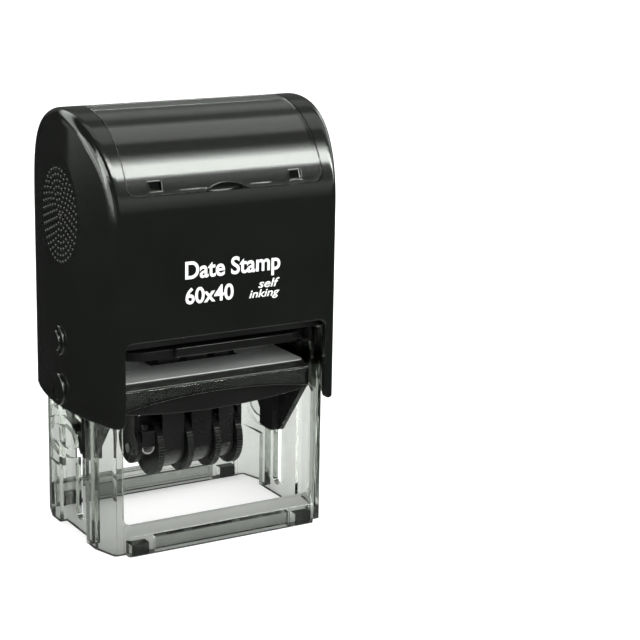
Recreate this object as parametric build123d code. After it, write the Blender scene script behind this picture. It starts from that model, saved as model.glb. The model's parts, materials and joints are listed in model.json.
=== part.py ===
from build123d import *
import math
import os

# Self inking date stamp, standing on its base with the grip up.
# Millimetres. X runs along the long side of the print, Y runs from front to back, Z is up.
# The origin is the middle of the base, in the plane that the base rests on.
# The base frame stands still. The cap slides down over it, and carries the text carriage
# on an axle. The carriage turns over while the cap goes down, so the text that faced the
# ink pad at the top meets the paper at the bottom.

os.makedirs("parts", exist_ok=True)

# ---------------------------------------------------------------- driving dimensions

# cap
CAP_HALF_LENGTH = 41.0
CAP_HALF_DEPTH = 29.3
CAP_HEIGHT = 129.3
CAP_BOTTOM = 40.3
CAP_WALL = 1.8
CAP_END_BOW = 90.0
CAP_EDGE_ROUND = 3.5
CUTOUT_HALF_WIDTH = 33.0
CUTOUT_TOP = 65.2
ARCH_Z = CAP_HEIGHT - CAP_HALF_DEPTH
INNER_ARCH = 25.5
GRIP_Z = 98.7

# index card and its window, let into the top of the cap
RECESS_FLOOR = 27.1
WINDOW_INNER = 27.7
INDEX_HALF_WIDTH = 31.7
INDEX_LOW = 107.3
INDEX_CORNER = 3.0

# lock buttons and axle caps, in both ends of the cap
BUTTON_Z = 60.8
BUTTON_RADIUS = 3.1
AXLE_CAP_RADIUS = 4.9
AXLE_CAP_SEAT = CAP_HALF_LENGTH - 0.3
AXLE_BARREL = 3.6

# base frame
FRAME_WALL = 1.8
FRAME_HALF_DEPTH = 24.5
FRAME_END_X = 35.2
FRAME_CORNER_X = 34.8
POST_X = 37.4
RAIL_TOP = 49.5
FRAME_TOP = 61.8
WINDOW_HALF_WIDTH = 31.8
WINDOW_LOW = 8.5
WINDOW_HIGH = 43.5
WINDOW_CROWN = 46.2
FOOT_HALF_DEPTH = 27.1
FOOT_HALF_LENGTH = 31.3
FOOT_PAD_X = (24.8, 30.4)
FOOT_PAD_HEIGHT = 3.7
FOOT_FACE = 0.5

# motion
TRAVEL = 38.0
AXLE_Z = 45.8
AXLE_RADIUS = 2.2
GUIDE_PIN_Z = 25.6
GUIDE_PIN_RADIUS = 1.2
FLIP_RADIUS = 22.5

# text carriage and date mechanism
HULL_HALF_LENGTH = 32.9
HULL_HALF_DEPTH = 20.2
PLATE_TOP = 50.5
HULL_TOP = PLATE_TOP - 1.2
CEILING = HULL_TOP - 1.5
BAND_SLOT = (-14.0, 16.0)
BAND_SLOT_HALF_DEPTH = 5.6
BAND_FACE = AXLE_Z + AXLE_Z - TRAVEL
WHEEL_Z = 24.0
WHEEL_RADIUS = 9.3
WHEEL_AXLE_RADIUS = 1.5
BAND_RADIUS = 7.0
BAND_THICKNESS = 0.7
FLANGE = 2.0
FLANGE_CENTRES = (-12.0, -2.05, 7.35, 14.9)
CHEEK_LEFT = (-19.0, -17.5)
CHEEK_RIGHT = (16.6, 18.1)
BLOCK_END = -13.3
BLOCK_FRONT = -7.0

# ink pad
PAD_BOTTOM = 57.8
PAD_HALF_LENGTH = 31.2

# return spring, between the bridge and its seat under the cap
SPRING_LOW = FRAME_TOP + 2.2
SPRING_HIGH = 112.0

# clearance between a shaft and its bore, and how far a cut runs past the face it opens
RUNNING_GAP = 0.05
EPS = 1.0


# ---------------------------------------------------------------- helpers

def block(x0, x1, y0, y1, z0, z1):
    """A box between two corners."""
    centre = Pos((x0 + x1) / 2, (y0 + y1) / 2, (z0 + z1) / 2)
    return centre * Box(x1 - x0, y1 - y0, z1 - z0)


def rod_x(radius, x0, x1, y=0.0, z=0.0):
    """A round bar that lies along X."""
    return Pos((x0 + x1) / 2, y, z) * Rot(0, 90, 0) * Cylinder(radius, x1 - x0)


def rod_y(radius, y0, y1, x=0.0, z=0.0):
    """A round bar that lies along Y."""
    return Pos(x, (y0 + y1) / 2, z) * Rot(90, 0, 0) * Cylinder(radius, y1 - y0)


def rod_z(radius, z0, z1, x=0.0, y=0.0):
    """A round bar that stands along Z."""
    return Pos(x, y, (z0 + z1) / 2) * Cylinder(radius, z1 - z0)


def prism_x(face, x0, x1):
    """A face drawn in (Y, Z), drawn out along X."""
    return extrude(Plane.YZ.offset(x0) * face, amount=x1 - x0, dir=(1, 0, 0))


def prism_y(face, y0, y1):
    """A face drawn in (X, Z), drawn out along Y."""
    plane = Plane(origin=(0, y0, 0), x_dir=(1, 0, 0), z_dir=(0, -1, 0))
    return extrude(plane * face, amount=y1 - y0, dir=(0, 1, 0))


def prism_z(face, z0, z1):
    """A face drawn in (X, Y), drawn out along Z."""
    return extrude(Pos(0, 0, z0) * face, amount=z1 - z0, dir=(0, 0, 1))


def polygon(points):
    return Polygon(*points, align=None)


def other_end(shape):
    """The same piece at the left end, mirrored from the right end."""
    return mirror(shape, about=Plane.YZ)


def other_side(shape):
    """The same piece at the back, mirrored from the front."""
    return mirror(shape, about=Plane.XZ)


def both_ends(shape):
    return shape + other_end(shape)


def both_sides(shape):
    return shape + other_side(shape)


def save(shape, node):
    solids = shape.solids()
    whole = solids[0] if len(solids) == 1 else Compound(children=list(solids))
    export_step(whole, f"parts/{node}.step")


# ---------------------------------------------------------------- base frame

def ring_outline(end_x, jog_y, post_x, post_y, corner_x, corner_y):
    """The frame's plan: short ends set back between four corner posts."""
    right = [
        (corner_x, corner_y),
        (post_x, post_y),
        (post_x, jog_y),
        (end_x, jog_y),
        (end_x, -jog_y),
        (post_x, -jog_y),
        (post_x, -post_y),
        (corner_x, -corner_y),
    ]
    left = [(-x, y) for x, y in reversed(right)]
    return polygon(right + left)


def window_face(half_width, low, high, crown, corner):
    """A window with a gently arched head and round corners."""
    frame = Polyline((-half_width, high), (-half_width, low), (half_width, low), (half_width, high))
    head = ThreePointArc((half_width, high), (0, crown), (-half_width, high))
    face = make_face(frame + head)
    return fillet(face.vertices(), corner)


def guide_pin_path(turn):
    """Where a guide pin is, in (Y, Z), when the carriage has turned by this many radians."""
    arm = AXLE_Z - GUIDE_PIN_Z
    axle = AXLE_Z - TRAVEL * turn / math.pi
    return arm * math.sin(turn), axle - arm * math.cos(turn)


def cam_groove_face(half_width):
    """The C-shaped groove that turns the carriage: the pin's path, widened by the pin."""
    steps = 12
    first = math.radians(4.2)
    last = math.pi - first
    outer = []
    inner = []
    for i in range(steps + 1):
        turn = first + (last - first) * i / steps
        y, z = guide_pin_path(turn)
        y_next, z_next = guide_pin_path(turn + 0.001)
        y_last, z_last = guide_pin_path(turn - 0.001)
        along = Vector(y_next - y_last, z_next - z_last).normalized()
        outer.append((y + half_width * along.Y, z - half_width * along.X))
        inner.append((y - half_width * along.Y, z + half_width * along.X))
    start = Line(inner[0], outer[0])
    end = Line(outer[-1], inner[-1])
    return make_face(Spline(*outer) + Spline(*inner) + start + end)


def foot_bar():
    """The front foot: a bar along the base with a sloping top, hollow from below."""
    skirt_z = 6.1
    profile = polygon([
        (-FRAME_HALF_DEPTH + FRAME_WALL, 0),
        (-FOOT_HALF_DEPTH, 0),
        (-FOOT_HALF_DEPTH, skirt_z),
        (-FRAME_HALF_DEPTH, WINDOW_LOW),
        (-FRAME_HALF_DEPTH + FRAME_WALL, WINDOW_LOW),
    ])
    bar = prism_x(profile, -FOOT_HALF_LENGTH, FOOT_HALF_LENGTH)
    nose = bar.edges().filter_by(Axis.X).sort_by_distance((0, -FOOT_HALF_DEPTH, skirt_z))[0]
    ends = bar.edges().filter_by(Axis.Z).group_by(Axis.Y)[0]
    return fillet([nose] + list(ends), 0.9)


def foot_bar_cuts():
    """What is taken out of the front foot: a shallow panel in its face and a channel below."""
    panel_x = 22.6
    panel_depth = 0.45
    channel = block(-panel_x, panel_x, -25.9, -24.1, -EPS, 4.8)
    panel = block(-panel_x, panel_x, -FOOT_HALF_DEPTH - EPS, -FOOT_HALF_DEPTH + panel_depth, 0.8, 5.0)
    return channel + panel


def foot_pad_blocks():
    """Four soft blocks in the foot bars, behind the bars' clear faces."""
    gap = 0.1
    front = -FOOT_HALF_DEPTH + FOOT_FACE + gap
    x0, x1 = FOOT_PAD_X
    right = block(x0 + gap, x1 - gap, front, -FRAME_HALF_DEPTH + FRAME_WALL, 0, FOOT_PAD_HEIGHT - gap)
    right = fillet(right.edges().filter_by(Axis.Y), 0.3)
    dimple = rod_y(0.45, front - EPS, front + 0.3, x=(x0 + x1) / 2, z=FOOT_PAD_HEIGHT / 2)
    return both_sides(both_ends(right - dimple))


def is_on_window_edge(edge):
    """True for the outer edges of the frame's windows and of its rails' tops."""
    middle = edge @ 0.5
    on_face = all(abs(abs(v.Y) - FRAME_HALF_DEPTH) < 0.01 for v in edge.vertices())
    inside_posts = abs(middle.X) < WINDOW_HALF_WIDTH + 0.1
    return on_face and inside_posts and WINDOW_LOW + 1 < middle.Z < RAIL_TOP + 0.1


def make_base_frame():
    outer = ring_outline(FRAME_END_X, 9.9, POST_X, 16.0, FRAME_CORNER_X, FRAME_HALF_DEPTH)
    outer = fillet(outer.vertices().filter_by(lambda v: abs(v.Y) > 15), 1.2)
    front_wall = 1.5
    inner = ring_outline(
        FRAME_END_X - FRAME_WALL,
        11.7,
        POST_X - FRAME_WALL,
        15.5,
        FRAME_CORNER_X - 1.3,
        FRAME_HALF_DEPTH - front_wall,
    )
    frame = prism_z(outer, 0, FRAME_TOP) - prism_z(inner, -EPS, FRAME_TOP + EPS)

    # the ink pad goes in over the front rail, between the posts
    frame -= block(-31.8, 31.8, -30, 30, RAIL_TOP, FRAME_TOP + EPS)

    # front and back windows, with rounded outer edges, as on the rail's top
    opening = window_face(WINDOW_HALF_WIDTH, WINDOW_LOW, WINDOW_HIGH, WINDOW_CROWN, 3.0)
    frame -= prism_y(opening, -30, 30)
    outer_edges = [e for e in frame.edges() if is_on_window_edge(e)]
    frame = fillet(outer_edges, 0.35)

    # foot bars, with pockets for the pads
    frame += both_sides(foot_bar())
    frame -= both_sides(foot_bar_cuts())
    pocket = block(*FOOT_PAD_X, -FOOT_HALF_DEPTH + FOOT_FACE, -22.0, -EPS, FOOT_PAD_HEIGHT)
    frame -= both_sides(both_ends(pocket))

    # a pad of wall inside each back post takes the far side of the cam groove
    cam_land = block(FRAME_END_X - FRAME_WALL, POST_X, 9.0, FRAME_HALF_DEPTH - 1.0, 17.5, 35.5)
    frame += both_ends(cam_land) & prism_z(outer, 0, FRAME_TOP)

    # cam grooves for the guide pins, cut part way through the end walls
    groove_depth = 1.35
    groove = prism_x(
        cam_groove_face(GUIDE_PIN_RADIUS + 0.2),
        FRAME_END_X - FRAME_WALL - EPS,
        FRAME_END_X - FRAME_WALL + groove_depth,
    )
    frame -= both_ends(groove)

    # axle slots, right through the end walls
    slot_half = AXLE_RADIUS + 0.3
    slot_low = AXLE_Z - TRAVEL - 1.7
    slot_high = AXLE_Z + 0.5
    slot = block(30, 40, -slot_half, slot_half, slot_low, slot_high)
    slot += rod_x(slot_half, 30, 40, z=slot_low)
    slot += rod_x(slot_half, 30, 40, z=slot_high)
    frame -= both_ends(slot)

    return frame


def make_frame_deck():
    """The bridge across the frame's top: runners for the ink pad and a seat for the spring."""
    deck = block(-34.9, 34.9, -23.2, 23.2, FRAME_TOP, SPRING_LOW)
    deck = fillet(deck.edges().filter_by(Axis.Z), 3.0)
    deck -= rod_z(6.0, FRAME_TOP - EPS, SPRING_LOW + EPS)
    collar = rod_z(11.6, SPRING_LOW, SPRING_LOW + 3.0) - rod_z(10.2, SPRING_LOW, SPRING_LOW + 3.0)
    runner = block(31.6, 32.8, -22.0, 22.0, PAD_BOTTOM - 0.9, FRAME_TOP)
    lip = block(30.2, 31.6, -22.0, 22.0, PAD_BOTTOM - 0.9, PAD_BOTTOM - 0.2)
    stop = block(-9.0, 9.0, 22.2, 23.2, PAD_BOTTOM, FRAME_TOP)
    return deck + collar + both_ends(runner + lip) + stop


def make_return_spring(low, high):
    """The coil spring that lifts the cap, with its wire and turns at rest."""
    wire = 0.55
    radius = 9.2
    turns = 7
    height = high - low - 2 * wire
    path = Pos(0, 0, low + wire) * Helix(pitch=height / turns, height=height, radius=radius)
    start = path @ 0
    section = Plane(origin=start, z_dir=path % 0) * Circle(wire)
    return sweep(section, path=path)


# ---------------------------------------------------------------- ink pad cartridge

def make_ink_pad_tray():
    nose_y = -23.0
    back_y = 21.8
    top = PAD_BOTTOM + 2.8
    plan = polygon([
        (-PAD_HALF_LENGTH, back_y),
        (-PAD_HALF_LENGTH, nose_y + 4.2),
        (-25.0, nose_y),
        (25.0, nose_y),
        (PAD_HALF_LENGTH, nose_y + 4.2),
        (PAD_HALF_LENGTH, back_y),
    ])
    tray = prism_z(plan, PAD_BOTTOM, top)
    tray = fillet(tray.edges().group_by(Axis.Z)[-1], 0.5)
    tray -= block(-29.6, 29.6, -19.6, 19.6, PAD_BOTTOM - EPS, PAD_BOTTOM + 1.6)
    lip = block(-14.9, 14.9, nose_y - 2.0, nose_y + 1.5, PAD_BOTTOM + 0.4, top + 0.5)
    lip = fillet(lip.edges().filter_by(Axis.X), 0.4)
    return tray + lip


def make_ink_pad_felt():
    felt = block(-29.4, 29.4, -19.4, 19.4, PAD_BOTTOM - 1.0, PAD_BOTTOM + 1.6)
    return fillet(felt.edges().group_by(Axis.Z)[0], 0.4)


# ---------------------------------------------------------------- cap

def arch_face(half_depth, low, arch_z):
    """Two straight legs and a half-round top, drawn in (Y, Z)."""
    legs = Polyline((half_depth, arch_z), (half_depth, low), (-half_depth, low), (-half_depth, arch_z))
    top = ThreePointArc((-half_depth, arch_z), (0, arch_z + half_depth), (half_depth, arch_z))
    return make_face(legs + top)


def bowed_plan(half_length, bow):
    """A rectangle, deeper than the cap, whose short ends bow outwards."""
    side = 2 * CAP_HALF_DEPTH
    corner = half_length - bow + math.sqrt(bow * bow - side * side)
    right = ThreePointArc((corner, -side), (half_length, 0), (corner, side))
    left = ThreePointArc((-corner, side), (-half_length, 0), (-corner, -side))
    front = Line((-corner, -side), (corner, -side))
    back = Line((corner, side), (-corner, side))
    return make_face(right + left + front + back)


def cap_block(half_length, half_depth, bow, low, edge_round):
    """A solid of the cap's form: arched from front to back, bowed at the ends, edges rounded."""
    body = prism_x(arch_face(half_depth, low, ARCH_Z), -60, 60)
    body &= prism_z(bowed_plan(half_length, bow), low - EPS, 140)
    rims = []
    for face in body.faces():
        centre = face.center()
        if abs(centre.X) > half_length - 8 and abs(centre.Y) < 1:
            rims += [e for e in face.edges() if e.center().Z > low + 1]
    return fillet(rims, edge_round)


def index_recess(half_width, low, inner, outer, corner):
    """The curved panel over the top of the cap, between two radii of the arch."""
    outline = polygon([(-half_width, low), (half_width, low), (half_width, 140), (-half_width, 140)])
    lower = [v for v in outline.vertices() if v.Y < low + 1]
    outline = fillet(lower, corner)
    ring = rod_x(outer, -half_width, half_width, z=ARCH_Z) - rod_x(inner, -50, 50, z=ARCH_Z)
    return ring & prism_y(outline, -40, 40)


def is_on_cutout_edge(edge):
    """True for the edges of the cap's cut-outs in its front and back faces."""
    middle = edge @ 0.5
    on_face = all(abs(abs(v.Y) - CAP_HALF_DEPTH) < 0.01 for v in edge.vertices())
    in_reach = abs(middle.X) < CUTOUT_HALF_WIDTH + 0.1 and CAP_BOTTOM < middle.Z < CUTOUT_TOP + 0.1
    return on_face and in_reach


def make_casing():
    outer = cap_block(CAP_HALF_LENGTH, CAP_HALF_DEPTH, CAP_END_BOW, CAP_BOTTOM, CAP_EDGE_ROUND)
    inner = cap_block(
        CAP_HALF_LENGTH - CAP_WALL,
        CAP_HALF_DEPTH - CAP_WALL,
        CAP_END_BOW - CAP_WALL,
        CAP_BOTTOM - EPS,
        CAP_EDGE_ROUND - CAP_WALL,
    )
    # the roof is thicker than the sides, because the index panel is let into it
    roof = rod_x(CAP_HALF_DEPTH, -60, 60, z=ARCH_Z) - rod_x(INNER_ARCH, -60, 60, z=ARCH_Z)
    roof &= block(-60, 60, -40, 40, ARCH_Z, 140)
    casing = outer - (inner - roof)

    # recess for the index card and its window
    casing -= index_recess(INDEX_HALF_WIDTH + 0.15, INDEX_LOW - 0.15, RECESS_FLOOR, 31, INDEX_CORNER)

    # front and back cut-outs
    gap = polygon([
        (-CUTOUT_HALF_WIDTH, CAP_BOTTOM - 5),
        (CUTOUT_HALF_WIDTH, CAP_BOTTOM - 5),
        (CUTOUT_HALF_WIDTH, CUTOUT_TOP),
        (-CUTOUT_HALF_WIDTH, CUTOUT_TOP),
    ])
    gap = fillet([v for v in gap.vertices() if v.Y > CUTOUT_TOP - 1], 2.2)
    casing -= prism_y(gap, -40, 40)
    toes = casing.edges().filter_by(Axis.Y).group_by(Axis.Z)[0]
    casing = fillet([e for e in toes if abs(e.center().X) < CUTOUT_HALF_WIDTH + 0.1], 1.8)
    casing = fillet([e for e in casing.edges() if is_on_cutout_edge(e)], 0.4)

    # shallow thumb grips in both ends
    grip_depth = 0.92
    grip_radius = 190.0
    hollow = rod_y(grip_radius, -40, 40, x=CAP_HALF_LENGTH - grip_depth + grip_radius, z=GRIP_Z)
    casing -= both_ends(hollow)

    # a raised rim and a hole for each lock button
    rim = rod_x(4.5, CAP_HALF_LENGTH - 1.2, CAP_HALF_LENGTH + 0.6, z=BUTTON_Z)
    rim = fillet(rim.edges().group_by(Axis.X)[-1], 0.4)
    casing += both_ends(rim)
    casing -= both_ends(rod_x(BUTTON_RADIUS + 0.15, 30, 50, z=BUTTON_Z))

    # a seat and a hole for each axle cap
    casing -= both_ends(rod_x(AXLE_CAP_RADIUS + 0.1, AXLE_CAP_SEAT, 50, z=AXLE_Z))
    casing -= both_ends(rod_x(AXLE_BARREL + 0.02, 30, 50, z=AXLE_Z))
    return casing


def make_axle_cap():
    """A round plug through the cap's leg, whose blind bore carries the carriage's pin."""
    head = rod_x(AXLE_CAP_RADIUS, AXLE_CAP_SEAT, AXLE_CAP_SEAT + 1.3, z=AXLE_Z)
    head = fillet(head.edges().group_by(Axis.X)[-1], 0.6)
    dish = rod_x(AXLE_CAP_RADIUS - 1.5, AXLE_CAP_SEAT + 1.0, AXLE_CAP_SEAT + 2.0, z=AXLE_Z)
    barrel = rod_x(AXLE_BARREL, FRAME_END_X + 0.9, AXLE_CAP_SEAT, z=AXLE_Z)
    bore = rod_x(AXLE_RADIUS + RUNNING_GAP, FRAME_END_X, 39.2, z=AXLE_Z)
    return head - dish + barrel - bore


def make_lock_button():
    """A push button with a flange that keeps it in the cap."""
    face = CAP_HALF_LENGTH + 1.4
    stem = rod_x(BUTTON_RADIUS, 37.8, face, z=BUTTON_Z)
    stem = fillet(stem.edges().group_by(Axis.X)[-1], 0.5)
    flange = rod_x(BUTTON_RADIUS + 1.3, 37.8, 38.8, z=BUTTON_Z)
    return stem + flange


def distance_from_arch_axis(point):
    return math.hypot(point.Y, point.Z - ARCH_Z)


def make_index_window():
    window = index_recess(INDEX_HALF_WIDTH, INDEX_LOW, WINDOW_INNER, CAP_HALF_DEPTH, INDEX_CORNER)
    # finger notches in the middle of the lower edges
    notch_half = 6.9
    notch_rise = 2.0
    notch_radius = (notch_half ** 2 + notch_rise ** 2) / (2 * notch_rise)
    window -= rod_y(notch_radius, -40, 40, z=INDEX_LOW + notch_rise - notch_radius)
    # snap slots near the lower corners
    slot = block(20.8, 24.6, -40, 40, 108.5, 111.0)
    window -= both_ends(slot)
    outer_edges = [e for e in window.edges() if distance_from_arch_axis(e @ 0.5) > CAP_HALF_DEPTH - 0.05]
    return fillet(outer_edges, 0.25)


def make_index_card():
    margin = 0.6
    return index_recess(
        INDEX_HALF_WIDTH - margin,
        INDEX_LOW + margin,
        RECESS_FLOOR + 0.05,
        WINDOW_INNER - 0.2,
        INDEX_CORNER - margin,
    )


def make_spring_seat(seat_z):
    """A post under the roof of the cap, with a disc that the spring pushes against."""
    disc = rod_z(11.0, seat_z, seat_z + 2.0)
    spigot = rod_z(7.6, seat_z - 3.0, seat_z)
    post = rod_z(6.0, seat_z + 2.0, ARCH_Z + INNER_ARCH)
    roof_gap = 0.02
    return (disc + spigot + post) & rod_x(INNER_ARCH - roof_gap, -20, 20, z=ARCH_Z)


# ---------------------------------------------------------------- text carriage

def hull_face():
    """The carriage's front view: a flat top and a gently sagging lower edge."""
    end_z = 41.8
    sag_z = 39.3
    top = Polyline(
        (-HULL_HALF_LENGTH, end_z),
        (-HULL_HALF_LENGTH, HULL_TOP),
        (HULL_HALF_LENGTH, HULL_TOP),
        (HULL_HALF_LENGTH, end_z),
    )
    belly = ThreePointArc((HULL_HALF_LENGTH, end_z), (0, sag_z), (-HULL_HALF_LENGTH, end_z))
    return make_face(top + belly)


def carriage_arm():
    """The right arm: a tapering web with a square rib down its middle, ending at the guide pin."""
    tip_z = AXLE_Z - FLIP_RADIUS
    web = polygon([(-4.4, tip_z), (4.4, tip_z), (19.0, 41.8), (19.0, 44.0), (-19.0, 44.0), (-19.0, 41.8)])
    arm = prism_x(web, 31.2, HULL_HALF_LENGTH)
    arm += block(29.2, HULL_HALF_LENGTH, -4.2, 4.2, tip_z, CEILING + 0.5)
    return arm & rod_x(FLIP_RADIUS, 25, 40, z=AXLE_Z)


def make_carriage_body():
    body = prism_y(hull_face(), -HULL_HALF_DEPTH, HULL_HALF_DEPTH)
    body = fillet(body.edges().filter_by(Axis.Z), 1.2)
    belly = [e for e in body.edges() if (e @ 0.5).Z < 41.8 and abs((e @ 0.5).X) < 1]
    body = fillet(belly, 0.5)
    wall = 1.6
    body -= block(
        -HULL_HALF_LENGTH + wall,
        HULL_HALF_LENGTH - wall,
        -HULL_HALF_DEPTH + wall,
        HULL_HALF_DEPTH - wall,
        30,
        CEILING,
    )
    body += both_ends(carriage_arm())
    body -= block(*BAND_SLOT, -BAND_SLOT_HALF_DEPTH, BAND_SLOT_HALF_DEPTH, 40, 60)
    return body


def make_mount_plate():
    plate = block(-31.5, 31.5, -HULL_HALF_DEPTH, HULL_HALF_DEPTH, HULL_TOP, PLATE_TOP)
    plate = fillet(plate.edges().filter_by(Axis.Z), 1.2)
    plate = fillet(plate.edges().group_by(Axis.Z)[-1], 0.3)
    return plate - block(*BAND_SLOT, -BAND_SLOT_HALF_DEPTH, BAND_SLOT_HALF_DEPTH, 40, 60)


def make_plate_liner():
    """The peel-off film over the plate's adhesive, where the text rubber goes."""
    liner = block(-30.9, 30.9, -19.5, 19.5, PLATE_TOP, PLATE_TOP + 0.3)
    liner = fillet(liner.edges().filter_by(Axis.Z), 1.0)
    return liner - block(*BAND_SLOT, -BAND_SLOT_HALF_DEPTH, BAND_SLOT_HALF_DEPTH, 40, 60)


def make_trunnion_pins():
    return both_ends(rod_x(AXLE_RADIUS, HULL_HALF_LENGTH, 38.8, z=AXLE_Z))


def make_guide_pins():
    pin = rod_x(GUIDE_PIN_RADIUS, HULL_HALF_LENGTH, FRAME_END_X - FRAME_WALL + 1.1, z=GUIDE_PIN_Z)
    return both_ends(pin)


# ---------------------------------------------------------------- date mechanism

def make_cheek_left():
    """The broad side plate, round at its foot, that holds the wheel axle on the left."""
    half = 7.0
    neck_half = 4.6
    shoulder_z = WHEEL_Z + 6
    foot_z = 19.4
    legs = Polyline(
        (half, shoulder_z - 3),
        (neck_half, shoulder_z),
        (neck_half, CEILING),
        (-neck_half, CEILING),
        (-neck_half, shoulder_z),
        (-half, shoulder_z - 3),
    )
    foot = ThreePointArc((-half, shoulder_z - 3), (0, foot_z), (half, shoulder_z - 3))
    plate = prism_x(make_face(legs + foot), *CHEEK_LEFT)
    return plate - rod_x(WHEEL_AXLE_RADIUS + RUNNING_GAP, -25, -10, z=WHEEL_Z)


def make_cheek_right():
    """The narrow side plate on the right."""
    plate = block(*CHEEK_RIGHT, -4.0, 4.0, WHEEL_Z, CEILING)
    plate += rod_x(4.0, *CHEEK_RIGHT, z=WHEEL_Z)
    return plate - rod_x(WHEEL_AXLE_RADIUS + RUNNING_GAP, 10, 25, z=WHEEL_Z)


def make_axle_block():
    """The bearing block beside the first wheel, with an overhanging front and a stub on top."""
    front = BLOCK_FRONT
    profile = polygon([
        (3.4, WHEEL_Z - 2.2),
        (-2.6, WHEEL_Z - 2.2),
        (-2.6, WHEEL_Z + 1.6),
        (front, WHEEL_Z + 1.6),
        (front, WHEEL_Z + 6.8),
        (3.4, WHEEL_Z + 6.8),
    ])
    bearing = prism_x(profile, CHEEK_LEFT[1], BLOCK_END)
    bearing = fillet(bearing.edges().filter_by(Axis.X), 0.5)
    stub = rod_z(1.2, WHEEL_Z + 6.8, WHEEL_Z + 8.6, x=-16.1, y=front + 1.8)
    return bearing + stub - rod_x(WHEEL_AXLE_RADIUS + RUNNING_GAP, -25, -10, z=WHEEL_Z)


def make_axle_clip():
    """A spring-steel leaf bent into a trough under the block's overhang."""
    leaf = 0.4
    middle_x = (CHEEK_LEFT[1] + BLOCK_END) / 2
    half = (BLOCK_END - CHEEK_LEFT[1]) / 2
    top = WHEEL_Z + 1.58
    trough = rod_y(half, BLOCK_FRONT + 0.2, -2.8, x=middle_x, z=top)
    trough -= rod_y(half - leaf, BLOCK_FRONT - EPS, 0, x=middle_x, z=top)
    return trough & block(-20, -10, -10, 0, WHEEL_Z - 3, top)


def make_wheel_axle():
    return rod_x(WHEEL_AXLE_RADIUS, CHEEK_LEFT[0] - 0.2, CHEEK_RIGHT[1] + 0.6, z=WHEEL_Z)


def make_flange(centre):
    """A thumb flange with fine teeth round its rim."""
    teeth = 64
    depth = 0.26
    flange = rod_x(WHEEL_RADIUS, centre - FLANGE / 2, centre + FLANGE / 2, z=WHEEL_Z)
    notch = rod_x(depth, centre - FLANGE, centre + FLANGE)
    for i in range(teeth):
        angle = 2 * math.pi * i / teeth
        y = (WHEEL_RADIUS + 0.1) * math.sin(angle)
        z = (WHEEL_RADIUS + 0.1) * math.cos(angle)
        flange -= Pos(0, y, WHEEL_Z + z) * notch
    return flange


def make_date_wheel(flanges, drum_to):
    """One thumb wheel: a drum for its band and one or two toothed flanges."""
    drum_radius = BAND_RADIUS - BAND_THICKNESS - RUNNING_GAP
    wheel = rod_x(drum_radius, flanges[0], drum_to, z=WHEEL_Z)
    for centre in flanges:
        wheel += make_flange(centre)
    return wheel - rod_x(WHEEL_AXLE_RADIUS + RUNNING_GAP, -25, 25, z=WHEEL_Z)


def band_outline(gap):
    """A band's loop in (Y, Z): round the wheel, up both sides and over the guide, less a gap."""
    side = BAND_RADIUS - gap
    top = BAND_FACE - gap
    shoulder_z = 44.5 - 0.3 * gap
    neck_z = 49.0 - 0.3 * gap
    crown = 4.0 - gap
    loop = Polyline(
        (side, WHEEL_Z),
        (side, shoulder_z),
        (crown, neck_z),
        (crown, top),
        (-crown, top),
        (-crown, neck_z),
        (-side, shoulder_z),
        (-side, WHEEL_Z),
    )
    turn = ThreePointArc((-side, WHEEL_Z), (0, WHEEL_Z - side), (side, WHEEL_Z))
    return make_face(loop + turn)


def make_date_band(x0, x1):
    return prism_x(band_outline(0), x0, x1) - prism_x(band_outline(BAND_THICKNESS), x0 - 1, x1 + 1)


def make_band_guide():
    """The bar between the cheeks that holds the bands up to the printing face."""
    inside = prism_x(band_outline(BAND_THICKNESS + RUNNING_GAP), CHEEK_LEFT[1], CHEEK_RIGHT[0])
    beam = block(-30, 30, -BAND_SLOT_HALF_DEPTH, BAND_SLOT_HALF_DEPTH, 43.5, CEILING)
    nose = block(BAND_SLOT[0] + 0.4, BAND_SLOT[1] - 0.4, -BAND_SLOT_HALF_DEPTH, BAND_SLOT_HALF_DEPTH, 45.0, 60)
    return inside & (beam + nose)


# ---------------------------------------------------------------- write the pieces

save(make_base_frame(), "base_frame")
save(foot_pad_blocks(), "foot_pads")
save(make_frame_deck(), "frame_deck")
save(make_return_spring(SPRING_LOW, SPRING_HIGH), "return_spring")

save(make_ink_pad_tray(), "ink_pad_tray")
save(make_ink_pad_felt(), "ink_pad_felt")

save(make_casing(), "casing")
save(make_spring_seat(SPRING_HIGH), "spring_seat")
save(make_index_card(), "index_card")
save(make_index_window(), "index_window")
save(make_axle_cap(), "axle_cap_right")
save(other_end(make_axle_cap()), "axle_cap_left")
save(make_lock_button(), "lock_button_right")
save(other_end(make_lock_button()), "lock_button_left")

save(make_carriage_body(), "carriage_body")
save(make_mount_plate(), "mount_plate")
save(make_plate_liner(), "plate_liner")
save(make_trunnion_pins(), "trunnion_pins")
save(make_guide_pins(), "guide_pins")

save(make_cheek_left(), "wheel_cheek_left")
save(make_cheek_right(), "wheel_cheek_right")
save(make_axle_block(), "axle_block")
save(make_axle_clip(), "axle_clip")
save(make_wheel_axle(), "wheel_axle")
save(make_band_guide(), "band_guide")

wheel_gap = 0.2
band_gap = 0.3
names = ("year", "month", "day")
for i, name in enumerate(names):
    start = FLANGE_CENTRES[i] + FLANGE / 2
    end = FLANGE_CENTRES[i + 1] - FLANGE / 2
    flanges = [FLANGE_CENTRES[i]]
    drum_end = end - wheel_gap
    if name == "day":
        flanges.append(FLANGE_CENTRES[i + 1])
        drum_end = end
    save(make_date_wheel(flanges, drum_end), f"date_wheel_{name}")
    save(make_date_band(start + band_gap, end - band_gap), f"date_band_{name}")
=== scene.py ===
import json
import math

import bpy
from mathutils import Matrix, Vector
from mathutils.bvhtree import BVHTree


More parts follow.
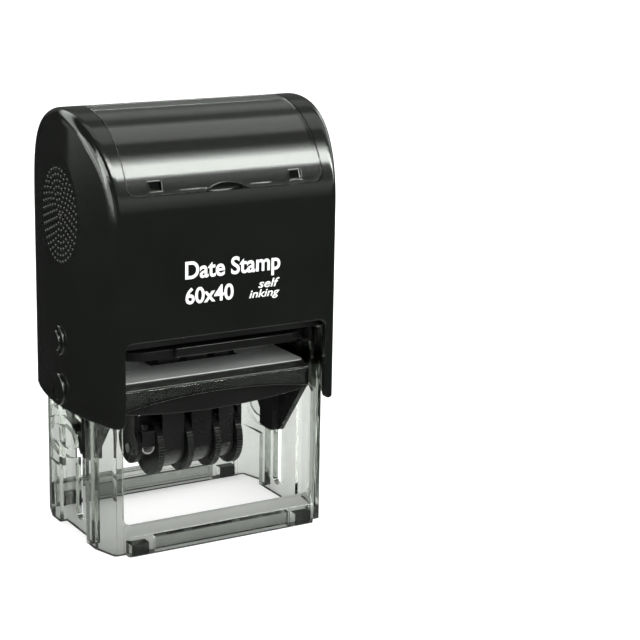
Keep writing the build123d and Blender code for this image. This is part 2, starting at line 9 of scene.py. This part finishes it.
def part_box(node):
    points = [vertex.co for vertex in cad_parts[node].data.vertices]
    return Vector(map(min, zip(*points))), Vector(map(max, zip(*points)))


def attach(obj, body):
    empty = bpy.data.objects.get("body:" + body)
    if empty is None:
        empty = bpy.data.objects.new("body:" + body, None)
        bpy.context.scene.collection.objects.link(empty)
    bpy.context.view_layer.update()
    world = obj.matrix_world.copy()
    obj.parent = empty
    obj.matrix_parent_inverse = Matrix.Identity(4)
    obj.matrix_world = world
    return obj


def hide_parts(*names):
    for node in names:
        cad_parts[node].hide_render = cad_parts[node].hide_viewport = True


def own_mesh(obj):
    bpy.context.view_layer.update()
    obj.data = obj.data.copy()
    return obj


# Self inking date stamp on a pale floor. Metres, in the CAD model's frame:
# X along the print, Y from front to back, Z up.

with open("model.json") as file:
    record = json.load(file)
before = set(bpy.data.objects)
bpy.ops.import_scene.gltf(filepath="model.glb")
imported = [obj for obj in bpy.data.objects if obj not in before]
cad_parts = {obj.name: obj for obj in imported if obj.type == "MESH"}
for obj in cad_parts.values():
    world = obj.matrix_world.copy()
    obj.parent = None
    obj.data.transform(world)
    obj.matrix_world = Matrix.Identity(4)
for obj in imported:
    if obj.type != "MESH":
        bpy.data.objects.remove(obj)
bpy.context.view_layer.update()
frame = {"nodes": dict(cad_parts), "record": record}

NODES = frame["nodes"]
MM = 0.001


# ---------------------------------------------------------------- colours

BLACK = (0.0060, 0.0068, 0.0060)
BLACK_LIGHTER = (0.0076, 0.0085, 0.0076)
SATIN = (0.0085, 0.009, 0.0085)
SATIN_LIGHTER = (0.0125, 0.013, 0.0125)
BAND = (0.008, 0.0085, 0.008)
BAND_LIGHTER = (0.015, 0.0155, 0.015)
FOOT = (0.02, 0.021, 0.02)
FOOT_LIGHTER = (0.032, 0.033, 0.032)
LINER = (0.58, 0.61, 0.58)
LINER_LIGHTER = (0.66, 0.69, 0.66)
SMOKE = (0.46, 0.475, 0.455)
SMOKE_LIGHTER = (0.52, 0.535, 0.515)
SMOKE_THROUGH = (0.40, 0.425, 0.38)
WATER = (0.93, 0.94, 0.93)
WATER_LIGHTER = (0.96, 0.97, 0.96)
BRIGHT_STEEL = (0.62, 0.62, 0.6)
BRIGHT_STEEL_LIGHTER = (0.86, 0.85, 0.83)
DARK_STEEL = (0.2, 0.2, 0.2)
DARK_STEEL_LIGHTER = (0.34, 0.34, 0.33)
INKED = (0.004, 0.005, 0.012)
INKED_LIGHTER = (0.02, 0.024, 0.05)
INK = (0.78, 0.79, 0.78)
INK_LIGHTER = (0.86, 0.87, 0.86)
FLOOR = (0.84, 0.84, 0.835)
FLOOR_LIGHTER = (0.86, 0.86, 0.855)


# ---------------------------------------------------------------- materials

class Nodes:
    """A material's node tree with short names for the nodes that this scene uses."""

    def __init__(self, name):
        self.material = bpy.data.materials.new(name)
        self.material.use_nodes = True
        self.tree = self.material.node_tree
        self.shader = self.tree.nodes["Principled BSDF"]
        self.place = self.tree.nodes.new("ShaderNodeTexCoord").outputs["Object"]

    def set(self, **values):
        """Sets the shader's own sockets. An underscore in a name stands for a space."""
        for name, value in values.items():
            self.shader.inputs[name.replace("_", " ")].default_value = value

    def noise(self, scale, detail=3.0, stretch=(1, 1, 1)):
        mapping = self.tree.nodes.new("ShaderNodeMapping")
        mapping.inputs["Scale"].default_value = stretch
        self.tree.links.new(self.place, mapping.inputs["Vector"])
        noise = self.tree.nodes.new("ShaderNodeTexNoise")
        noise.inputs["Scale"].default_value = scale
        noise.inputs["Detail"].default_value = detail
        self.tree.links.new(mapping.outputs["Vector"], noise.inputs["Vector"])
        return noise.outputs["Fac"]

    def spread(self, value, low, high, start=0.3, end=0.7):
        """Maps a texture's value from start..end to low..high."""
        node = self.tree.nodes.new("ShaderNodeMapRange")
        node.inputs["From Min"].default_value = start
        node.inputs["From Max"].default_value = end
        node.inputs["To Min"].default_value = low
        node.inputs["To Max"].default_value = high
        self.tree.links.new(value, node.inputs["Value"])
        return node.outputs["Result"]

    def colours(self, value, dark, light, start=0.35, end=0.65):
        """A colour between dark and light, by a texture's value."""
        ramp = self.tree.nodes.new("ShaderNodeValToRGB")
        ramp.color_ramp.elements[0].position = start
        ramp.color_ramp.elements[0].color = (*dark, 1)
        ramp.color_ramp.elements[1].position = end
        ramp.color_ramp.elements[1].color = (*light, 1)
        self.tree.links.new(value, ramp.inputs["Fac"])
        return ramp.outputs["Color"]

    def add(self, first, second):
        node = self.tree.nodes.new("ShaderNodeMath")
        node.operation = "ADD"
        self.tree.links.new(first, node.inputs[0])
        self.tree.links.new(second, node.inputs[1])
        return node.outputs["Value"]

    def bump(self, value, strength, depth):
        node = self.tree.nodes.new("ShaderNodeBump")
        node.inputs["Strength"].default_value = strength
        node.inputs["Distance"].default_value = depth
        self.tree.links.new(value, node.inputs["Height"])
        self.tree.links.new(node.outputs["Normal"], self.shader.inputs["Normal"])

    def link(self, output, socket):
        self.tree.links.new(output, self.shader.inputs[socket])

    def absorb(self, colour, density):
        """The plastic swallows light on its way through, so thick places look darker."""
        node = self.tree.nodes.new("ShaderNodeVolumeAbsorption")
        node.inputs["Color"].default_value = (*colour, 1)
        node.inputs["Density"].default_value = density
        self.tree.links.new(node.outputs["Volume"], self.tree.nodes["Material Output"].inputs["Volume"])


def plastic(name, dark, light, rough, grain=700.0, bump=0.05, level=0.5):
    """Moulded plastic: slight colour drift, uneven gloss, faint rubbed streaks, a fine skin."""
    m = Nodes(name)
    m.set(Specular_IOR_Level=level)
    glossiest, dullest = rough
    streak = 0.03
    m.link(m.colours(m.noise(35.0), dark, light), "Base Color")
    handled = m.spread(m.noise(60.0, detail=6.0), low=0.0, high=dullest - glossiest)
    rubbed = m.noise(900.0, detail=2.0, stretch=(0.12, 1, 1))
    streaks = m.spread(rubbed, low=glossiest, high=glossiest + streak)
    m.link(m.add(handled, streaks), "Roughness")
    m.bump(m.noise(grain, detail=2.0), bump, depth=0.2 * MM)
    return m.material


def smoked_plastic(name):
    """Clear grey plastic, darker where it is thick, slightly rippled as it leaves the mould."""
    m = Nodes(name)
    m.set(Transmission_Weight=1.0, IOR=1.2, Coat_Weight=0.35, Coat_Roughness=0.03)
    m.link(m.colours(m.noise(25.0), SMOKE, SMOKE_LIGHTER), "Base Color")
    m.link(m.spread(m.noise(300.0, detail=4.0), low=0.015, high=0.04), "Roughness")
    m.bump(m.noise(60.0, detail=1.0), strength=0.02, depth=0.3 * MM)
    m.absorb(SMOKE_THROUGH, density=35.0)
    return m.material


def clear_plastic(name):
    """Water-clear plastic with faint lengthwise scratches."""
    m = Nodes(name)
    m.set(Transmission_Weight=1.0, IOR=1.49)
    m.link(m.colours(m.noise(25.0), WATER, WATER_LIGHTER), "Base Color")
    scratches = m.noise(500.0, detail=5.0, stretch=(0.05, 1, 1))
    m.link(m.spread(scratches, low=0.0, high=0.05), "Roughness")
    ripples = m.noise(160.0, detail=2.0, stretch=(0.06, 1, 1))
    m.bump(ripples, strength=0.02, depth=0.2 * MM)
    return m.material


def steel(name, metal, dark, light):
    """Drawn steel with fine lines along X."""
    m = Nodes(name)
    m.set(Metallic=metal)
    m.link(m.colours(m.noise(400.0, detail=4.0), dark, light), "Base Color")
    lines = m.noise(900.0, stretch=(1, 8, 8))
    m.link(m.spread(lines, low=0.25, high=0.42), "Roughness")
    m.bump(m.noise(1500.0, detail=2.0), strength=0.08, depth=0.1 * MM)
    return m.material


def felt(name):
    """Ink-soaked felt: fibres and a damp sheen."""
    m = Nodes(name)
    m.link(m.colours(m.noise(1800.0, detail=6.0), INKED, INKED_LIGHTER), "Base Color")
    m.link(m.spread(m.noise(250.0, detail=4.0), low=0.45, high=0.9), "Roughness")
    m.bump(m.noise(2600.0, detail=6.0), strength=0.5, depth=0.4 * MM)
    return m.material


def white_ink(name):
    """Pad-printed ink: almost white, a little thin in places."""
    m = Nodes(name)
    m.link(m.colours(m.noise(900.0, detail=4.0), INK, INK_LIGHTER), "Base Color")
    m.link(m.spread(m.noise(400.0), low=0.35, high=0.5), "Roughness")
    m.bump(m.noise(2000.0, detail=2.0), strength=0.1, depth=0.05 * MM)
    return m.material


# "rough" is the roughness of the glossiest and of the dullest places.
MATERIALS = {
    "black_gloss": plastic("black_gloss", BLACK, BLACK_LIGHTER, rough=(0.06, 0.13), grain=900, bump=0.015),
    "black_satin": plastic("black_satin", SATIN, SATIN_LIGHTER, rough=(0.24, 0.36)),
    "black_tray": plastic("black_tray", BLACK, SATIN, rough=(0.12, 0.24)),
    "black_carriage": plastic("black_carriage", SATIN, SATIN_LIGHTER, rough=(0.16, 0.3), level=0.12),
    "card_black": plastic("card_black", BLACK, BLACK_LIGHTER, rough=(0.3, 0.45), level=0.0),
    "wheel_black": plastic("wheel_black", BLACK, SATIN, rough=(0.2, 0.34), level=0.25),
    "rubber_band": plastic(
        "rubber_band", BAND, BAND_LIGHTER, rough=(0.2, 0.34), grain=1400, bump=0.12, level=0.7
    ),
    "rubber_black": plastic(
        "rubber_black", FOOT, FOOT_LIGHTER, rough=(0.55, 0.75), grain=1600, bump=0.2, level=0.2
    ),
    "liner_film": plastic("liner_film", LINER, LINER_LIGHTER, rough=(0.14, 0.26), grain=500, bump=0.06),
    "clear_smoke": smoked_plastic("clear_smoke"),
    "clear_window": clear_plastic("clear_window"),
    "spring_steel": steel("spring_steel", 0.6, BRIGHT_STEEL, BRIGHT_STEEL_LIGHTER),
    "dark_steel": steel("dark_steel", 1.0, DARK_STEEL, DARK_STEEL_LIGHTER),
    "ink_felt": felt("ink_felt"),
    "white_ink": white_ink("white_ink"),
}

# Pieces that look different from the material slot that the record gives them.
OWN_LOOKS = {"wheel_axle": "dark_steel"}


def dress_frame():
    """Gives every carried-over CAD node its material."""
    for part in frame["record"]["subparts"]:
        mesh = NODES[part["node"]].data
        mesh.materials.clear()
        look = OWN_LOOKS.get(part["node"], part["material_slot"])
        mesh.materials.append(MATERIALS[look])


# ---------------------------------------------------------------- mesh helpers

def new_piece(name, mesh, material, body, smooth=True):
    """Puts a finished mesh in the scene, on its body."""
    mesh.materials.append(MATERIALS[material])
    for polygon in mesh.polygons:
        polygon.use_smooth = smooth
    piece = bpy.data.objects.new(name, mesh)
    bpy.context.scene.collection.objects.link(piece)
    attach(piece, body)
    return piece


def mesh_from(name, points, faces):
    mesh = bpy.data.meshes.new(name)
    mesh.from_pydata(points, [], faces)
    mesh.validate()
    return mesh


def surface_of(node):
    """A node's surface, to set small details on."""
    mesh = NODES[node].data
    points = [v.co.copy() for v in mesh.vertices]
    faces = [list(p.vertices) for p in mesh.polygons]
    return BVHTree.FromPolygons(points, faces)


# ---------------------------------------------------------------- grip dots

def dot_dome(centre, outward, radius, height):
    """Points and faces of one low round pip that stands on a surface."""
    # each ring's share of the radius and of the height; the first ring is below the surface
    rings = ((1.0, -0.25), (0.86, 0.45), (0.5, 0.86))
    around = 10
    side = outward.orthogonal().normalized()
    up = outward.cross(side)
    points = []
    for reach, rise in rings:
        for i in range(around):
            turn = 2 * math.pi * i / around
            rim = side * math.cos(turn) + up * math.sin(turn)
            points.append(centre + rim * radius * reach + outward * height * rise)
    points.append(centre + outward * height)
    faces = []
    for ring in range(len(rings) - 1):
        for i in range(around):
            j = (i + 1) % around
            a = ring * around
            b = a + around
            faces.append((a + i, a + j, b + j, b + i))
    top = (len(rings) - 1) * around
    for i in range(around):
        faces.append((top + i, top + (i + 1) % around, len(points) - 1))
    return points, faces


def grip_places():
    """Where the pips stand, in (Y, Z) about the grip's middle: ovals one inside the next."""
    half_width = 12.6 * MM
    half_height = 14.6 * MM
    ovals = 8
    pitch = 2.1 * MM
    fewest = 4
    for oval in range(ovals):
        share = (oval + 0.5) / ovals
        width = half_width * share
        height = half_height * share
        # Ramanujan's length of an ellipse
        root = math.sqrt((3 * width + height) * (width + 3 * height))
        around = math.pi * (3 * (width + height) - root)
        count = max(fewest, round(around / pitch))
        for i in range(count):
            turn = 2 * math.pi * (i + 0.5 * (oval % 2)) / count
            yield width * math.sin(turn), height * math.cos(turn)


def make_grip_dots():
    """Raised pips in the thumb grips, in both ends of the cap."""
    casing = surface_of("casing")
    grip_height = 98.2 * MM
    outside = 80 * MM
    radius = 0.5 * MM
    height = 0.28 * MM
    for end, side in (("left", -1), ("right", 1)):
        points = []
        faces = []
        for y, z in grip_places():
            start = Vector((side * outside, y, grip_height + z))
            place, normal, _, _ = casing.ray_cast(start, Vector((-side, 0, 0)))
            outward = normal if normal.x * side > 0 else -normal
            dome, dome_faces = dot_dome(place, outward, radius, height)
            faces += [tuple(i + len(points) for i in face) for face in dome_faces]
            points += dome
        name = f"grip_dots_{end}"
        new_piece(name, mesh_from(name, points, faces), "black_gloss", "cap")


# ---------------------------------------------------------------- printing on the cap

def letters(name, words, left, right, low, high, face_y, bold=0.0, slant=0.0):
    """Flat words between two X places and two heights, just proud of a face that looks to the front."""
    curve = bpy.data.curves.new(name, "FONT")
    curve.body = words
    curve.offset = bold
    curve.shear = slant
    # any thickness does here, because the letters are fitted to the face below
    curve.extrude = 0.01
    curve.resolution_u = 6
    source = bpy.data.objects.new(name + "_source", curve)
    bpy.context.scene.collection.objects.link(source)
    bpy.context.view_layer.update()
    mesh = bpy.data.meshes.new_from_object(source)
    bpy.data.objects.remove(source)
    mesh.name = name
    xs = [v.co.x for v in mesh.vertices]
    ys = [v.co.y for v in mesh.vertices]
    zs = [v.co.z for v in mesh.vertices]
    proud = 0.02 * MM
    for v in mesh.vertices:
        across = (v.co.x - min(xs)) / (max(xs) - min(xs))
        up = (v.co.y - min(ys)) / (max(ys) - min(ys))
        out = (v.co.z - min(zs)) / (max(zs) - min(zs))
        v.co = (left + (right - left) * across, face_y + proud * (1 - 2 * out), low + (high - low) * up)
    return mesh


def make_lettering():
    """Generic words on the front of the cap."""
    face_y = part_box("casing")[0][1]
    # name, words, then left, right, low and high in mm, then how bold and how slanted
    rows = (
        ("print_title", "Date Stamp", -14.3, 16.9, 80.8, 87.7, 0.022, 0.0),
        ("print_size", "60x40", -14.2, 1.4, 75.0, 79.9, 0.022, 0.0),
        ("print_kind", "self", 9.6, 16.7, 77.4, 80.0, 0.014, 0.25),
        ("print_kind_2", "inking", 6.6, 16.7, 73.9, 77.0, 0.014, 0.25),
    )
    for name, words, left, right, low, high, bold, slant in rows:
        places = [value * MM for value in (left, right, low, high)]
        mesh = letters(name, words, *places, face_y, bold, slant)
        new_piece(name, mesh, "white_ink", "cap", smooth=False)


# ---------------------------------------------------------------- ribs on the window

def make_window_ribs():
    """Two thin raised lines along the window, above its lower edge."""
    window = surface_of("index_window")
    radius = 0.28 * MM
    flatness = 0.6
    height = 108.3 * MM
    in_front = -50 * MM
    around = 8
    along = 24
    tip = 0.02
    blunt = 0.25
    points = []
    faces = []
    # where each rib starts and ends along X, in mm
    for start, end in ((-16.0, -6.5), (7.0, 14.3)):
        base = len(points)
        for i in range(along + 1):
            share = i / along
            x = (start + (end - start) * share) * MM
            place, normal, _, _ = window.ray_cast(Vector((x, in_front, height)), Vector((0, 1, 0)))
            outward = normal if normal.y < 0 else -normal
            upward = Vector((1, 0, 0)).cross(outward).normalized()
            taper = math.sin(math.pi * min(max(share, tip), 1 - tip)) ** blunt
            for k in range(around):
                turn = 2 * math.pi * k / around
                ring = outward * math.cos(turn) * flatness + upward * math.sin(turn)
                points.append(place + ring * radius * taper)
        for i in range(along):
            for k in range(around):
                a = base + i * around + k
                b = base + i * around + (k + 1) % around
                faces.append((a, b, b + around, a + around))
        faces.append(tuple(base + k for k in reversed(range(around))))
        faces.append(tuple(base + along * around + k for k in range(around)))
    new_piece("window_ribs", mesh_from("window_ribs", points, faces), "clear_window", "index_window")


# ---------------------------------------------------------------- return spring

def make_spring():
    """The return spring with its end coils closed, which the CAD coil stands for."""
    low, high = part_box("return_spring")
    wire = 0.55 * MM
    radius = (high[0] - low[0]) / 2 - wire
    turns = 8.5
    closed = 1.0
    per_turn = 40
    around = 12
    bottom = low[2] + wire
    top = high[2] - wire
    lift = 2 * wire
    steps = int(turns * per_turn)
    line = []
    for i in range(steps + 1):
        turn = turns * i / steps
        middle = (turn - closed) / (turns - 2 * closed)
        share = min(1.0, max(0.0, middle))
        ends = min(turn, closed) + max(0.0, turn - (turns - closed))
        z = bottom + ends * lift + (top - bottom - 2 * closed * lift) * share
        angle = 2 * math.pi * turn
        line.append(Vector((radius * math.cos(angle), radius * math.sin(angle), z)))
    points = []
    for i, place in enumerate(line):
        along = (line[min(i + 1, steps)] - line[max(i - 1, 0)]).normalized()
        out = Vector((place.x, place.y, 0)).normalized()
        up = along.cross(out).normalized()
        out = up.cross(along)
        for k in range(around):
            turn = 2 * math.pi * k / around
            points.append(place + (out * math.cos(turn) + up * math.sin(turn)) * wire)
    faces = []
    for i in range(steps):
        for k in range(around):
            a = i * around + k
            b = i * around + (k + 1) % around
            faces.append((a, b, b + around, a + around))
    faces.append(tuple(reversed(range(around))))
    faces.append(tuple(steps * around + k for k in range(around)))
    spring = new_piece("coil_spring", mesh_from("coil_spring", points, faces), "spring_steel", "frame")
    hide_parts("return_spring")
    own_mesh(spring)


# ---------------------------------------------------------------- ink pad felt

def make_felt():
    """The ink pad: a felt block with a slightly crowned face and soft edges, in its tray."""
    low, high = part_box("ink_pad_felt")
    half_x = (high[0] - low[0]) / 2
    half_y = (high[1] - low[1]) / 2
    across = 64
    deep = 44
    edge = 1.4 * MM
    edge_slope = 0.7
    crown = 0.25 * MM
    columns = [math.sin(math.pi / 2 * (2 * i / across - 1)) for i in range(across + 1)]
    rows = [math.sin(math.pi / 2 * (2 * j / deep - 1)) for j in range(deep + 1)]
    points = []
    for v in rows:
        for u in columns:
            reach = min((1 - abs(u)) * half_x, (1 - abs(v)) * half_y) / edge
            soft = 1 - math.sqrt(max(0.0, 1 - (1 - min(1.0, reach)) ** 2))
            z = low[2] + soft * edge * edge_slope + crown * (u * u + v * v) / 2
            points.append((u * half_x, v * half_y, z))
    under = len(points)
    for v in rows:
        for u in columns:
            points.append((u * half_x, v * half_y, high[2]))
    faces = []
    wide = across + 1
    for j in range(deep):
        for i in range(across):
            a = j * wide + i
            faces.append((a, a + wide, a + wide + 1, a + 1))
            faces.append((under + a, under + a + 1, under + a + wide + 1, under + a + wide))
    border = list(range(wide))
    border += [j * wide + across for j in range(1, deep + 1)]
    border += [deep * wide + i for i in range(across - 1, -1, -1)]
    border += [j * wide for j in range(deep - 1, 0, -1)]
    for n, a in enumerate(border):
        b = border[(n + 1) % len(border)]
        faces.append((a, b, under + b, under + a))
    pad = new_piece("felt_pad", mesh_from("felt_pad", points, faces), "ink_felt", "ink_pad")
    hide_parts("ink_pad_felt")


# ---------------------------------------------------------------- studio

def floor_material():
    """Pale and matt, and lightly lit from within, so that it reads as white."""
    m = Nodes("floor")
    m.set(Specular_IOR_Level=0.2)
    m.link(m.colours(m.noise(6.0), FLOOR, FLOOR_LIGHTER), "Base Color")
    m.link(m.spread(m.noise(40.0), low=0.55, high=0.7), "Roughness")
    m.set(Emission_Color=(1, 1, 1, 1), Emission_Strength=0.4)
    return m.material


def make_floor():
    half = 6.0
    below_feet = 0.02 * MM
    mesh = bpy.data.meshes.new("floor")
    corners = [(-half, -half, 0), (half, -half, 0), (half, half, 0), (-half, half, 0)]
    mesh.from_pydata(corners, [], [(0, 1, 2, 3)])
    mesh.materials.append(floor_material())
    floor = bpy.data.objects.new("floor", mesh)
    floor.location.z = -below_feet
    floor.visible_glossy = False
    bpy.context.scene.collection.objects.link(floor)


def softbox(name, place, target, width, height, watts):
    """A rectangular light that faces the target, and that gloss and clear plastic don't show."""
    light = bpy.data.lights.new(name, "AREA")
    light.shape = "RECTANGLE"
    light.size = width
    light.size_y = height
    light.energy = watts
    lamp = bpy.data.objects.new(name, light)
    lamp.location = place
    aim = Vector(target) - Vector(place)
    lamp.rotation_euler = aim.to_track_quat("-Z", "Y").to_euler()
    lamp.visible_glossy = False
    lamp.visible_transmission = False
    bpy.context.scene.collection.objects.link(lamp)


class WorldNodes:
    """The world's node tree with short names for its maths."""

    # a mix node's colour sockets, by number, because its sockets for other types have the same names
    MIX_FIRST = 6
    MIX_SECOND = 7
    MIX_RESULT = 2

    def __init__(self, tree):
        self.tree = tree

    def feed(self, socket, value):
        """Links another node's output to the socket, or sets a plain number or colour on it."""
        if isinstance(value, bpy.types.NodeSocket):
            self.tree.links.new(value, socket)
        else:
            socket.default_value = value

    def math(self, operation, first, second=None):
        node = self.tree.nodes.new("ShaderNodeMath")
        node.operation = operation
        self.feed(node.inputs[0], first)
        if second is not None:
            self.feed(node.inputs[1], second)
        return node.outputs["Value"]

    def step(self, value, dark, bright):
        """0 on the dark side of an edge, 1 on its bright side, smooth between."""
        if bright < dark:
            value = self.math("MULTIPLY", value, -1.0)
            dark, bright = -dark, -bright
        node = self.tree.nodes.new("ShaderNodeMapRange")
        node.interpolation_type = "SMOOTHSTEP"
        node.inputs["From Min"].default_value = dark
        node.inputs["From Max"].default_value = bright
        self.feed(node.inputs["Value"], value)
        return node.outputs["Result"]

    def ramp(self, value, stops):
        """A colour along a value between 0 and 1."""
        node = self.tree.nodes.new("ShaderNodeValToRGB")
        ramp = node.color_ramp
        while len(ramp.elements) < len(stops):
            ramp.elements.new(1.0)
        for element, (place, colour) in zip(ramp.elements, stops):
            element.position = place
            element.color = (*colour, 1)
        self.feed(node.inputs["Fac"], value)
        return node.outputs["Color"]

    def colour_math(self, operation, first, second):
        node = self.tree.nodes.new("ShaderNodeVectorMath")
        node.operation = operation
        self.feed(node.inputs[0], first)
        self.feed(node.inputs[1], second)
        return node.outputs["Vector"]

    def scale(self, colour, factor):
        node = self.tree.nodes.new("ShaderNodeVectorMath")
        node.operation = "SCALE"
        self.feed(node.inputs[0], colour)
        self.feed(node.inputs["Scale"], factor)
        return node.outputs["Vector"]

    def mix(self, share, first, second):
        """The first colour where the share is 0, the second where it is 1."""
        node = self.tree.nodes.new("ShaderNodeMix")
        node.data_type = "RGBA"
        self.feed(node.inputs["Factor"], share)
        self.feed(node.inputs[self.MIX_FIRST], first)
        self.feed(node.inputs[self.MIX_SECOND], second)
        return node.outputs[self.MIX_RESULT]

    def hold(self, colour, when, low, high):
        """Keeps a colour between two levels, for the rays that the second value picks out."""
        raised = self.colour_math("MAXIMUM", colour, (low, low, low))
        held = self.colour_math("MINIMUM", raised, (high, high, high))
        return self.mix(when, colour, held)


# The studio that gloss reflects, by angle from the floor in front, over the top, to the back,
# in degrees. Long strips of light hang along X, with dark gaps between them.
STRIP_LIGHT = 19.0
STRIPS = (
    (0, 0.006),
    (14, 0.05),
    (20, 0.014),
    (29, 0.03),
    (36, 0.06),
    (38.5, 0.3),
    (41, 1.0),
    (52, 1.0),
    (56, 0.6),
    (60, 0.25),
    (63, 0.1),
    (67, 0.03),
    (70, 0.016),
    (82, 0.014),
    (87, 0.06),
    (108, 0.062),
    (113, 0.014),
    (122, 0.01),
    (128, 0.024),
    (138, 0.022),
    (146, 0.008),
    (180, 0.005),
)


# Patches of light beside the strips: how bright each is, and its soft edges. Each edge has a
# measure, the place where the patch is dark and the place where it is fully bright.
PATCHES = {
    "left side": (0.45 * STRIP_LIGHT, (("x", -0.5, -0.6), ("degrees", 30, 44), ("degrees", 78, 64))),
    "left wall": (0.5, (("x", -0.535, -0.56), ("z", -0.195, -0.145), ("z", 0.3, 0.1))),
    "low left": (3.5, (("x", -0.78, -0.84), ("z", -0.14, -0.02), ("z", 0.7, 0.55))),
    "back": (3.5, (("degrees", 122, 134), ("degrees", 158, 146), ("from_gap", 0.28, 0.4))),
    "table": (0.9, (("z", -0.45, -0.8),)),
}

# The strips stop at the left, and at the floor. The back patch has a gap in it, about this x.
STRIP_END = (-0.2, 0.02)
HORIZON = (-0.01, 0.02)
BACK_GAP = 0.4

# The colour of all the studio's light, and how bright its dark walls are
TINT = (0.955, 1.0, 0.945)
AMBIENT = 0.02

# What the eye and soft light see in place of the studio, and the lowest and highest level of
# the studio as seen through clear plastic
PALE = (1.12, 1.12, 1.115, 1)
SEEN_THROUGH = (0.12, 1.0)


def make_world():
    """A pale world for the eye and for soft light; for gloss, dark walls with strips of light."""
    world = bpy.data.worlds.new("studio")
    world.use_nodes = True
    bpy.context.scene.world = world
    tree = world.node_tree
    w = WorldNodes(tree)
    sky = tree.nodes["Background"]
    coordinates = tree.nodes.new("ShaderNodeTexCoord")
    direction = tree.nodes.new("ShaderNodeSeparateXYZ")
    tree.links.new(coordinates.outputs["Generated"], direction.inputs["Vector"])
    x, y, z = direction.outputs
    degrees = w.math("DEGREES", w.math("ARCTAN2", z, w.math("MULTIPLY", y, -1.0)))

    stops = [(place / 180, [level * t for t in TINT]) for place, level in STRIPS]
    strips = w.scale(w.ramp(w.math("DIVIDE", degrees, 180.0), stops), STRIP_LIGHT)
    ends = w.math("MULTIPLY", w.step(z, *HORIZON), w.step(x, *STRIP_END))
    studio = w.colour_math("ADD", w.scale(strips, ends), [AMBIENT * t for t in TINT])

    from_gap = w.math("ABSOLUTE", w.math("SUBTRACT", x, BACK_GAP))
    measures = {"x": x, "z": z, "degrees": degrees, "from_gap": from_gap}
    for brightness, edges in PATCHES.values():
        inside = 1.0
        for measure, dark, bright in edges:
            inside = w.math("MULTIPLY", w.step(measures[measure], dark, bright), inside)
        patch = w.scale([brightness * t for t in TINT], inside)
        studio = w.colour_math("ADD", studio, patch)

    rays = tree.nodes.new("ShaderNodeLightPath")
    studio = w.hold(studio, rays.outputs["Is Transmission Ray"], *SEEN_THROUGH)
    # a ray that gloss has turned at least once
    reflected = w.math("GREATER_THAN", rays.outputs["Glossy Depth"], 0.5)
    tree.links.new(w.mix(reflected, PALE, studio), sky.inputs["Color"])
    sky.inputs["Strength"].default_value = 1.0


def make_lights():
    """A wide light in front, to the right, and a square one overhead."""
    middle = (0, 0, 0.05)
    softbox("key_softbox", (0.2, -0.95, 0.6), middle, width=1.2, height=0.5, watts=5)
    softbox("top_softbox", (0.0, 0.1, 1.2), middle, width=1.2, height=1.2, watts=3)


def make_camera():
    """A long lens, a little above the stamp and to its left; the stamp stands left of centre."""
    azimuth = math.radians(-26.76)
    elevation = math.radians(14.75)
    distance = 0.57821
    target_height = 0.06
    target = Vector((0, 0, target_height))
    back = Vector((
        math.sin(azimuth) * math.cos(elevation),
        -math.cos(azimuth) * math.cos(elevation),
        math.sin(elevation),
    ))
    lens = 106.27
    sensor = 36.0
    # how far the stamp's middle stands from the picture's middle, as a share of its width
    left_of_centre = 0.2129
    below_centre = 0.0104
    camera = bpy.data.cameras.new("camera")
    camera.lens = lens
    camera.sensor_width = sensor
    eye = bpy.data.objects.new("camera", camera)
    eye.location = target + back * distance
    facing = (-back).to_track_quat("-Z", "Y")
    aside = Vector((-left_of_centre * sensor / lens, -below_centre * sensor / lens, -1))
    turn = Vector((0, 0, -1)).rotation_difference(aside)
    eye.rotation_mode = "QUATERNION"
    eye.rotation_quaternion = facing @ turn.inverted()
    bpy.context.scene.collection.objects.link(eye)
    bpy.context.scene.camera = eye


dress_frame()
make_grip_dots()
make_lettering()
make_window_ribs()
make_spring()
make_felt()
make_floor()
make_world()
make_lights()
make_camera()
bpy.context.scene.view_settings.view_transform = "Standard"
